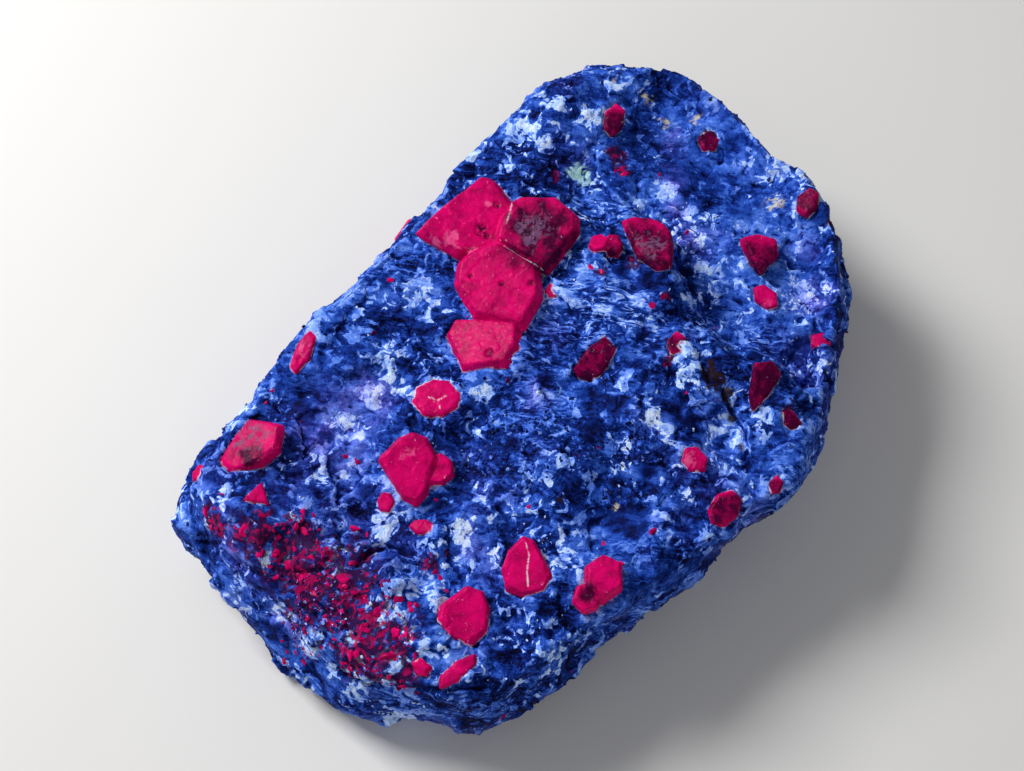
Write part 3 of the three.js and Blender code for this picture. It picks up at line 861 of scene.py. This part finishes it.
matrixSkin = {
    "voxel": 0.25,
    "triangles": 192000,
    "plates": (3.6, 0.19, 0.11, 5),  # size, step, lean and seed of the split plates
    "chips": (1.5, 0.09, 0.10, 47),
    "splinters": (0.75, 0.03, 0.06, 83),
    "swell": (5.0, 0.20, 90),  # size, height and seed
    "grit": (0.55, 0.035, 120),
    "grains": (0.85, 0.18, 140),  # rounded grains where the rock is granular
    "lap": (0.50, 1.7),  # the rock rises this much towards a crystal, from this far
    "crackDepth": 0.7,
    "plugGrow": 0.5,  # how far the plug in a socket overlaps the rock round it
    "plugDepth": 0.2,
    "plugRing": 1.35,  # the rock's level is read round a crystal, at this share of its size
    "plugAway": 30.0,  # the reading starts this far out
    "wellAbove": 100.0,
    "topReach": 1.0,
    "rimReach": 0.42,  # pale skin this close to a crystal
    "under": (-0.5, -0.8),  # facing down this much, the rock is only worn away
    "underWear": 0.25,
    "reliefDepth": 0.7,
    "crestDepth": 0.14,
    "sideShadeFacing": (0.30, -0.25),
    "smoothing": {"skin": 2, "facing": 6, "crest": 4, "sideShade": 25},  # rounds
    "hidden": {"crust": (5.0, 201), "lilac": (8.0, 211), "dark": (6.0, 221), "wispy": (9.0, 231)},
    # patches: edge, then pixel across, pixel down and radius in pixels
    "patches": {
        "crust": ("ragged", [
            (654, 420, 17), (624, 448, 8), (592, 476, 9), (618, 464, 8), (550, 460, 9), (536, 392, 11),
            (486, 388, 8), (708, 444, 8), (646, 533, 6), (690, 496, 6), (570, 574, 9), (458, 532, 11),
            (494, 558, 7), (420, 588, 12), (436, 531, 7), (474, 518, 5), (701, 270, 11), (809, 291, 18),
            (588, 116, 11), (543, 142, 9), (774, 175, 8), (710, 217, 8), (303, 502, 8), (323, 474, 8),
            (384, 532, 13), (297, 521, 7), (266, 561, 5), (423, 643, 8), (445, 648, 9), (340, 420, 14),
            (372, 402, 10), (318, 452, 10), (356, 436, 9), (392, 380, 8), (290, 520, 6), (330, 545, 5),
            (385, 600, 8), (360, 655, 6), (410, 640, 6), (640, 300, 9), (600, 292, 8), (520, 130, 14),
            (560, 105, 10), (655, 150, 12), (668, 190, 12), (640, 205, 10), (762, 438, 8), (784, 476, 6),
            (600, 206, 8), (715, 300, 8),
        ]),
        "lilac": ("ragged", [
            (330, 430, 44), (372, 398, 26), (673, 143, 16), (674, 180, 16), (676, 212, 14), (805, 250, 14),
            (536, 395, 16), (350, 400, 20), (225, 535, 26), (245, 565, 26), (305, 560, 20), (470, 545, 14),
            (290, 620, 22), (690, 240, 22), (815, 300, 20),
        ]),
        # dark rock, and painted shadow beside the raised crystals and the block
        "dark": ("crisp", [
            (592, 430, 14), (616, 406, 12), (496, 436, 10), (512, 444, 9), (620, 486, 12), (646, 472, 8),
            (630, 522, 22), (440, 504, 9), (546, 380, 9), (596, 392, 9), (688, 426, 10), (815, 205, 15),
            (833, 279, 7), (371, 493, 10), (297, 404, 8), (240, 517, 8), (273, 587, 12), (275, 630, 14),
            (310, 615, 14), (555, 262, 7), (690, 285, 8), (420, 686, 9), (450, 688, 9), (838, 234, 9),
            (824, 188, 8), (682, 268, 8), (650, 279, 10), (622, 272, 8), (679, 248, 6), (581, 258, 6),
        ]),
        "wispy": ("ragged", [
            (600, 310, 45), (640, 330, 30), (560, 330, 25), (615, 208, 16), (650, 222, 13), (580, 200, 13),
            (705, 330, 24), (760, 345, 22),
        ]),
        "mint": ("ragged", [(579, 175, 15)]),
        "tan": ("ragged", [
            (648, 101, 8), (664, 124, 7), (697, 118, 8), (776, 203, 11), (614, 81, 6), (826, 213, 4),
            (616, 506, 4),
        ]),
        "rust": ("ragged", [
            (709, 370, 9), (716, 383, 10), (727, 396, 9), (733, 418, 5), (742, 445, 4), (560, 499, 4),
        ]),
        "redStain": ("ragged", [
            (617, 157, 13), (622, 172, 9), (555, 178, 6), (765, 140, 8), (786, 161, 8), (815, 194, 9),
            (832, 222, 8), (330, 585, 50), (300, 555, 34), (370, 635, 40), (250, 535, 26), (215, 525, 18),
            (430, 565, 12), (400, 670, 16), (634, 263, 9), (600, 270, 9), (685, 345, 12),
            (668, 296, 6), (667, 361, 9), (678, 341, 11), (790, 412, 8),
        ]),
        "calm": ("ragged", [
            (700, 150, 55), (760, 230, 55), (805, 290, 34), (600, 130, 40), (650, 190, 40), (350, 410, 40),
        ]),
    },
    "granular": [
        (520, 445, 42), (600, 470, 36), (640, 440, 28), (480, 470, 24), (460, 400, 22), (330, 590, 50),
    ],
    "smooth": [(630, 522, 22), (393, 561, 14)],
    # lines: half width, then the pixels along each
    "lines": {
        "paleRim": (0.8, [
            [(182, 512), (196, 480), (215, 452), (240, 415), (268, 380), (300, 340), (335, 300), (370, 262),
             (400, 230), (430, 196), (455, 168), (490, 135), (520, 108), (550, 84), (580, 72)],
        ]),
        "paleLine": (0.16, [
            [(600, 272), (613, 285), (640, 290), (667, 294), (676, 305)],
            [(548, 214), (575, 222), (600, 214), (640, 212), (668, 222)],
            [(545, 300), (575, 290), (612, 300), (650, 318), (672, 338)],
            [(530, 345), (560, 332), (600, 326), (640, 345)],
        ]),
        "crackAndLedgeShadow": (0.30, [
            [(704, 364), (710, 380), (722, 384), (726, 398), (731, 410), (744, 432), (746, 450), (748, 470)],
            [(366, 556), (373, 549), (386, 545), (399, 546), (411, 553)],
            # painted shadow: the dark line under the front ledge
            [(335, 672), (365, 683), (395, 689), (430, 690), (465, 687), (490, 690)],
        ]),
    },
}
rubyNames = sorted(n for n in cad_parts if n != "matrix")
rubyTree = treeOf(*joinArrays([nodeArrays(name) for name in rubyNames]))


def crystalAxis(points):
    heart = points.mean(0)
    low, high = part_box("matrix")
    away = heart - (np.array(low) + np.array(high)) / 2 / mm
    above = Vector((heart[0], heart[1], matrixSkin["wellAbove"]))
    hit = wholeStone.ray_cast(above, Vector((0, 0, -1)))[0]
    if hit is not None and hit.z - points[:, 2].max() < matrixSkin["topReach"]:  # in the top face
        return np.array([0, 0, 1.0])
    sideways = np.array([away[0], away[1], 0.0])
    return sideways / np.linalg.norm(sideways)


def socketPlug(points, faces, rock):
    axis = crystalAxis(points)
    grown = points + outwardNormals(points, faces) * matrixSkin["plugGrow"]
    levels = []
    for spot in points.mean(0) + (points - points.mean(0)) * matrixSkin["plugRing"]:
        hit = rock.ray_cast(Vector(spot + axis * matrixSkin["plugAway"]), Vector(-axis))[0]
        if hit is not None:
            levels.append(np.array(hit) @ axis)
    drop = (grown @ axis).max() - np.median(levels) + matrixSkin["plugDepth"]
    return grown - axis * max(drop, 0.0), faces


def closedStone():
    points, faces = nodeArrays("matrix")
    rock = treeOf(points, faces)
    plugs = [socketPlug(*nodeArrays(name), rock) for name in rubyNames]
    return voxelSkin(*joinArrays([(points, faces), *plugs]), matrixSkin["voxel"])


def skinRelief(points, granular, smooth):
    plates = brokenPlates(points, *matrixSkin["plates"])
    chips = brokenPlates(points, *matrixSkin["chips"]) * (1 - 0.5 * granular)
    splinters = brokenPlates(points, *matrixSkin["splinters"])
    size, height, seed = matrixSkin["swell"]
    swell = roughNoise(points, size, seed, 3) * height
    size, height, seed = matrixSkin["grit"]
    grit = roughNoise(points, size, seed, 2) * height
    size, height, seed = matrixSkin["grains"]
    cell, _, far = nearestCells(points, size, seed)
    grains = height * (0.55 - far / size + 0.5 * scramble(cell, seed + 10)) * (0.15 + 0.85 * granular)
    return (plates + chips + splinters + grit + grains) * (1 - 0.8 * smooth) + swell


def distancesTo(tree, points, reach):
    far = np.full(len(points), reach)
    for i, point in enumerate(points):
        distance = tree.find_nearest(Vector(point), reach)[3]
        if distance is not None:
            far[i] = distance
    return far


def lapTowards(points, facing):
    height, reach = matrixSkin["lap"]
    far = np.full(len(points), reach)
    for name in rubyNames:
        low, high = (np.array(corner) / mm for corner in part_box(name))
        near = np.flatnonzero(np.all((points > low - reach) & (points < high + reach), axis=1))
        far[near] = np.minimum(far[near], distancesTo(rubyTree, points[near], reach))
    return height * (1 - between(0.2, reach, far)) * between(-0.7, -0.2, facing)


def makeSkin():
    points, faces = closedStone()
    points = relaxed(points, faces, matrixSkin["smoothing"]["skin"])
    normals = outwardNormals(relaxed(points, faces, matrixSkin["smoothing"]["facing"]), faces)
    granular = patchMask(points, matrixSkin["granular"], "crisp")
    smooth = patchMask(points, matrixSkin["smooth"], "crisp")
    smooth = np.maximum(smooth, 0.7 * lineMask(points, *matrixSkin["lines"]["paleRim"]))
    relief = skinRelief(points, granular, smooth)
    cracks = matrixSkin["crackDepth"] * lineMask(points, *matrixSkin["lines"]["crackAndLedgeShadow"])
    raised = relief + lapTowards(points, normals[:, 2]) - cracks
    under = between(*matrixSkin["under"], normals[:, 2])
    push = raised * (1 - under) + under * np.minimum(raised - matrixSkin["underWear"], 0.0)
    shaped = insideBox(points + normals * push[:, None])
    thinPoints, thinFaces = thinned(shaped, faces, matrixSkin["triangles"])
    thinPoints = insideBox(thinPoints)
    print("matrix skin:", len(faces) * 2, "triangles thinned to", len(thinFaces))
    # the relief again, at the points that are left
    tree = treeOf(shaped, faces)
    nearest = np.array([tree.find_nearest(Vector(point))[2] for point in thinPoints])
    return thinPoints, thinFaces, relief[faces[nearest]].mean(1)


def skinMasks(points, faces, normals, relief):
    masks = {name: patchMask(points, spots, edge) for name, (edge, spots) in matrixSkin["patches"].items()}
    masks.update({name: lineMask(points, *line) for name, line in matrixSkin["lines"].items()})
    masks["relief"] = np.clip(relief / matrixSkin["reliefDepth"], -1, 1)
    bulge = ((points - relaxed(points, faces, matrixSkin["smoothing"]["crest"])) * normals).sum(1)
    masks["crest"] = np.clip(bulge / matrixSkin["crestDepth"], -1, 1)
    masks["rim"] = 1 - between(0.05, matrixSkin["rimReach"], distancesTo(rubyTree, points, 2.0))
    # painted shade: the sides and the underside, by which way they face
    broadNormals = outwardNormals(relaxed(points, faces, matrixSkin["smoothing"]["sideShade"]), faces)
    masks["sideShade"] = between(*matrixSkin["sideShadeFacing"], broadNormals[:, 2])
    # the hidden sides get patches of their own
    for name, (size, seed) in matrixSkin["hidden"].items():
        loose = between(0.1, 0.7, roughNoise(points, size, seed))
        masks[name] = np.maximum(masks[name], loose * (0.35 + 0.4 * masks["sideShade"]))
    return masks


skinPoints, skinFaces, skinHeights = makeSkin()
skinNormals = outwardNormals(skinPoints, skinFaces)
skinTree = treeOf(skinPoints, skinFaces)
skinMask = skinMasks(skinPoints, skinFaces, skinNormals, skinHeights)
skin = finishedPiece("matrix_skin", skinPoints, skinFaces, blueMatrix, skinMask)
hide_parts("matrix")


# Ruby crystals

crystals = {
    "voxel": 0.13,
    "steps": (1.6, 0.030, 0.035, 401),  # size, step, lean and seed of the growth steps
    "chips": (0.6, 0.012, 0.03, 433),
    "edgeBend": (0.01, 0.05),
    "dents": (0.9, 0.10, 461),  # small breaks along the edges: size, depth and seed
    "pitDepth": 0.16,
    "rimReach": 0.18,
    # patches: edge, then pixel across, pixel down and radius in pixels
    "patches": {
        "deepRuby": ("crisp", [
            (541, 236, 38), (646, 246, 36), (612, 247, 9), (597, 360, 25), (762, 259, 25), (765, 388, 30),
            (790, 420, 14), (730, 505, 12), (614, 122, 16), (709, 138, 16), (808, 203, 20), (590, 592, 10),
            (722, 512, 14), (678, 344, 13), (776, 486, 9), (250, 455, 12),
        ]),
        # grey patches, partly a painted grey-blue sheen on the crystals
        "sheenAndGreyRuby": ("ragged", [(256, 434, 22), (534, 226, 26), (650, 244, 20)]),
        "pinkRuby": ("ragged", [
            (452, 240, 12), (436, 240, 9), (470, 248, 8), (490, 205, 7), (305, 352, 11), (405, 452, 11),
            (770, 302, 9), (690, 460, 11),
        ]),
        "pits": ("crisp", [
            (481, 230, 6), (487, 236, 4), (490, 353, 5), (502, 284, 3), (531, 283, 4), (470, 276, 3),
            (556, 228, 4), (528, 232, 4), (497, 205, 4), (612, 250, 3),
        ]),
    },
    "veinWidth": 0.06,
    "veins": [
        [(526, 543), (529, 556), (527, 570), (528, 586)],
        [(428, 397), (438, 400), (446, 396)],
        [(438, 400), (440, 408)],
        [(498, 243), (510, 250), (522, 257), (533, 263), (543, 270)],
        [(512, 204), (507, 222), (500, 240)],
    ],
}


def makeCrystal(name):
    points, faces = voxelSkin(*nodeArrays(name), crystals["voxel"])
    points = relaxed(points, faces, 1)
    normals = outwardNormals(points, faces)
    bend = np.linalg.norm(points - relaxed(points, faces, 10), axis=1)
    steps = brokenPlates(points, *crystals["steps"]) + brokenPlates(points, *crystals["chips"])
    size, depth, seed = crystals["dents"]
    dents = depth * between(*crystals["edgeBend"], bend) * between(0.15, 0.7, roughNoise(points, size, seed))
    pitEdge, pitSpots = crystals["patches"]["pits"]
    hollows = crystals["pitDepth"] * patchMask(points, pitSpots, pitEdge)
    points = insideBox(points + normals * (steps - dents - hollows)[:, None])
    masks = {mask: patchMask(points, spots, edge) for mask, (edge, spots) in crystals["patches"].items()}
    masks["rim"] = 1 - between(0.03, crystals["rimReach"], distancesTo(skinTree, points, 1.0))
    masks["vein"] = lineMask(points, crystals["veinWidth"], crystals["veins"])
    piece = finishedPiece(name.replace("ruby_", "crystal_"), points, faces, rubyCrystal, masks)
    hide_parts(name)
    return len(faces) * 2


crystalTriangles = [makeCrystal(name) for name in rubyNames]
print("ruby crystals:", len(rubyNames), "of up to", max(crystalTriangles), "triangles")


# Small grains that stand out of the skin

grainShapes = {"count": 14, "seed": 17, "narrowest": 0.6}
clearOfRuby = 1 - skinMask["rim"]


def chipShapes(flatness, corners):
    random = np.random.default_rng(grainShapes["seed"])
    shapes = []
    for _ in range(grainShapes["count"]):
        cloud = random.normal(size=(corners, 3))
        cloud /= np.linalg.norm(cloud, axis=1, keepdims=True)
        cloud *= [1, random.uniform(grainShapes["narrowest"], 1.0), flatness]
        work = bmesh.new()
        for corner in cloud:
            work.verts.new(corner)
        bmesh.ops.convex_hull(work, input=work.verts)
        work.verts.index_update()
        faces = np.array([[v.index for v in face.verts] for face in work.faces])
        shapes.append((np.array([v.co for v in work.verts]), faces))
        work.free()
    return shapes


def turnsTo(normals, random):
    side = np.cross(normals, random.normal(size=normals.shape))
    side /= np.linalg.norm(side, axis=1, keepdims=True)
    return np.stack([side, np.cross(normals, side), normals], 2)


def pickSpots(weights, grains):
    random = np.random.default_rng(grains["seed"])
    weights = np.clip(weights, 0, None)
    return random.choice(len(weights), grains["count"], replace=False, p=weights / weights.sum()), random


def singleSpots(grains):
    # grains that the photo shows one by one
    found = [skinTree.find_nearest(onStone(across, down))[:2] for across, down, _ in grains["singles"]]
    spots = np.array([list(spot) for spot, _ in found])
    normals = np.array([list(normal) for _, normal in found])
    return spots, normals, np.array([radius / pixelsPerMm for _, _, radius in grains["singles"]])


def scatter(name, grains, material, tintName, spots, normals, sizes, tints):
    random = np.random.default_rng(grains["seed"] + 1)
    normals = normals + random.normal(size=normals.shape) * grains["wobble"]
    normals /= np.linalg.norm(normals, axis=1, keepdims=True)
    shapes = chipShapes(grains["flatness"], grains["corners"])
    parts = []
    tintParts = []
    for spot, normal, size, tint, turn in zip(spots, normals, sizes, tints, turnsTo(normals, random)):
        corners, faces = shapes[random.integers(len(shapes))]
        parts.append((spot - normal * size * grains["sink"] + (corners * size) @ turn.T, faces))
        tintParts.append(np.full(len(corners), tint))
    points, faces = joinArrays(parts)
    masks = {tintName: np.concatenate(tintParts)}
    finishedPiece(name, insideBox(points), faces, material, masks, smooth=False)
    print(name + ":", len(spots), "grains,", len(faces), "triangles")


paleGrains = {
    "count": 1300,
    "sizes": (0.09, 0.32),
    "elsewhere": 0.01,  # chance of a grain away from the crusts
    "tint": (0.45, 0.30),  # middle and spread
    "flatness": 0.7,
    "corners": 14,
    "sink": 0.35,
    "wobble": 0.5,
    "seed": 501,
    "slot": "matrix_rock",
}


def scatterPaleGrains():
    crust = skinMask["crust"]
    chosen, random = pickSpots((crust ** 2 + paleGrains["elsewhere"]) * clearOfRuby, paleGrains)
    sizes = random.uniform(*paleGrains["sizes"], len(chosen)) * (0.7 + 0.5 * crust[chosen])
    tints = np.clip(random.normal(*paleGrains["tint"], len(chosen)), 0, 1)
    spots, normals = skinPoints[chosen], skinNormals[chosen]
    scatter("pale_grains", paleGrains, paleGrain, "tint", spots, normals, sizes, tints)


blueGrains = {
    "count": 1500,
    "sizes": (0.12, 0.38),
    "elsewhere": 0.02,
    "tint": (0.55, 0.28),
    "darkAndShadowDrop": 0.35,
    "flatness": 0.7,
    "corners": 14,
    "sink": 0.4,
    "wobble": 0.6,
    "seed": 511,
    "slot": "matrix_rock",
}


def scatterBlueGrains():
    granular = patchMask(skinPoints, matrixSkin["granular"], "crisp")
    weights = (granular + blueGrains["elsewhere"]) * clearOfRuby * (1 - skinMask["redStain"])
    chosen, random = pickSpots(weights, blueGrains)
    sizes = random.uniform(*blueGrains["sizes"], len(chosen))
    tints = random.normal(*blueGrains["tint"], len(chosen))
    # grains darker on dark rock and in the painted shadow
    tints = np.clip(tints - blueGrains["darkAndShadowDrop"] * skinMask["dark"][chosen], 0, 1)
    spots, normals = skinPoints[chosen], skinNormals[chosen]
    scatter("blue_grains", blueGrains, blueGrain, "tint", spots, normals, sizes, tints)


# ruby grains: pixel across, pixel down and radius in pixels
redGrains = {
    "singles": [
        (530, 504, 4), (596, 449, 4), (508, 381, 5), (604, 542, 4), (622, 563, 5), (625, 174, 6),
        (660, 175, 5), (592, 268, 5), (598, 272, 7), (664, 297, 5), (716, 330, 4), (271, 389, 4),
        (264, 402, 5), (374, 334, 5), (818, 424, 6), (356, 461, 5), (347, 455, 4), (354, 523, 9),
        (314, 542, 7), (303, 532, 6), (278, 554, 6), (288, 565, 8), (355, 561, 6), (345, 574, 10),
        (380, 613, 8), (408, 604, 6), (447, 554, 6), (434, 572, 7), (442, 578, 5), (445, 591, 6),
        (247, 530, 9), (263, 517, 5), (301, 512, 5), (315, 513, 5), (212, 522, 5), (223, 494, 4),
        (386, 652, 9), (349, 654, 8), (284, 659, 6), (393, 637, 8), (367, 626, 8), (437, 500, 4),
    ],
    "zone": [
        (330, 590, 46), (300, 555, 30), (375, 630, 36), (350, 660, 24), (405, 620, 20), (265, 540, 22),
        (215, 522, 20), (400, 668, 20), (300, 640, 24),
    ],
    "count": 330,
    "elsewhere": 0.004,
    "sizes": (0.16, 0.62),
    "tint": (0.25, 0.35),
    "flatness": 0.5,
    "corners": 16,
    "sink": 0.30,
    "wobble": 0.3,
    "seed": 601,
    "slot": "ruby",
}


def scatterRedGrains():
    weights = patchMask(skinPoints, redGrains["zone"], "crisp") + redGrains["elsewhere"]
    chosen, random = pickSpots(weights * clearOfRuby, redGrains)
    low, high = redGrains["sizes"]
    looseSizes = low + (high - low) * random.uniform(0, 1, len(chosen)) ** 2
    singles, singleNormals, singleSizes = singleSpots(redGrains)
    spots = np.concatenate([skinPoints[chosen], singles])
    normals = np.concatenate([skinNormals[chosen], singleNormals])
    sizes = np.concatenate([looseSizes, singleSizes])
    tints = np.clip(random.normal(*redGrains["tint"], len(spots)), 0, 1)
    scatter("ruby_grains", redGrains, rubyCrystal, "deepRuby", spots, normals, sizes, tints)


violetPlates = {
    "zone": [
        (332, 624, 14), (297, 628, 9), (303, 585, 12), (266, 646, 8), (295, 598, 9), (341, 561, 9),
        (320, 605, 30),
    ],
    "count": 130,
    "elsewhere": 0.0008,
    "sizes": (0.10, 0.26),
    "flatness": 0.22,
    "corners": 10,
    "sink": 0.0,
    "wobble": 0.7,
    "seed": 701,
    "slot": "matrix_rock",
}


def scatterPlates():
    weights = patchMask(skinPoints, violetPlates["zone"], "crisp") ** 2 + violetPlates["elsewhere"]
    chosen, random = pickSpots(weights, violetPlates)
    sizes = random.uniform(*violetPlates["sizes"], len(chosen))
    tints = random.uniform(0, 1, len(chosen))
    spots, normals = skinPoints[chosen], skinNormals[chosen]
    scatter("violet_plates", violetPlates, violetPlate, "tint", spots, normals, sizes, tints)


scatterPaleGrains()
scatterBlueGrains()
scatterRedGrains()
scatterPlates()


# Floor and light

stage = {
    "floorSize": 3.0,  # metres
    "floorTones": (colour(0.70, 0.69, 0.67), colour(0.69, 0.68, 0.66)),
    "floorPatches": (40.0, 0.5, 0.4, 41.0),
    "floorRoughness": 0.75,
    "worldTone": colour(0.93, 0.95, 1.0),
    "worldLight": 0.24,
    "lights": {  # direction, distance and size in metres, and power in watts
        "key": ((-0.06, 0.69, 0.66), 0.42, 0.16, 1.95),
        "fill": ((-0.75, -0.35, 0.56), 0.6, 0.5, 0.65),
    },
}


def makeFloor():
    half = stage["floorSize"] / 2
    corners = np.array([[-half, -half, 0], [half, -half, 0], [half, half, 0], [-half, half, 0]])
    floor = bareObject("floor", corners, np.array([[0, 1, 2, 3]]))
    material, tree, shader = newFinish("paleFloor")
    patch = patches(tree, millimetres(tree), *stage["floorPatches"])
    tree.links.new(mixIn(tree, patch, *stage["floorTones"]), shader.inputs["Base Color"])
    shader.inputs["Roughness"].default_value = stage["floorRoughness"]
    floor.data.materials.append(material)


def makeLight(name, direction, distance, size, power):
    data = bpy.data.lights.new(name, "AREA")
    data.energy = power
    data.size = size
    light = bpy.data.objects.new(name, data)
    away = Vector(direction).normalized()
    light.location = away * distance
    light.rotation_euler = away.to_track_quat("Z", "Y").to_euler()
    bpy.context.scene.collection.objects.link(light)


def makeWorld():
    world = bpy.data.worlds.new("studio")
    world.use_nodes = True
    backdrop = next(n for n in world.node_tree.nodes if n.type == "BACKGROUND")
    backdrop.inputs["Color"].default_value = stage["worldTone"]
    backdrop.inputs["Strength"].default_value = stage["worldLight"]
    bpy.context.scene.world = world
    bpy.context.scene.view_settings.view_transform = "Standard"


makeFloor()
makeWorld()
for lightName, lightSettings in stage["lights"].items():
    makeLight(lightName, *lightSettings)
print("stage: floor,", " and ".join(stage["lights"]))
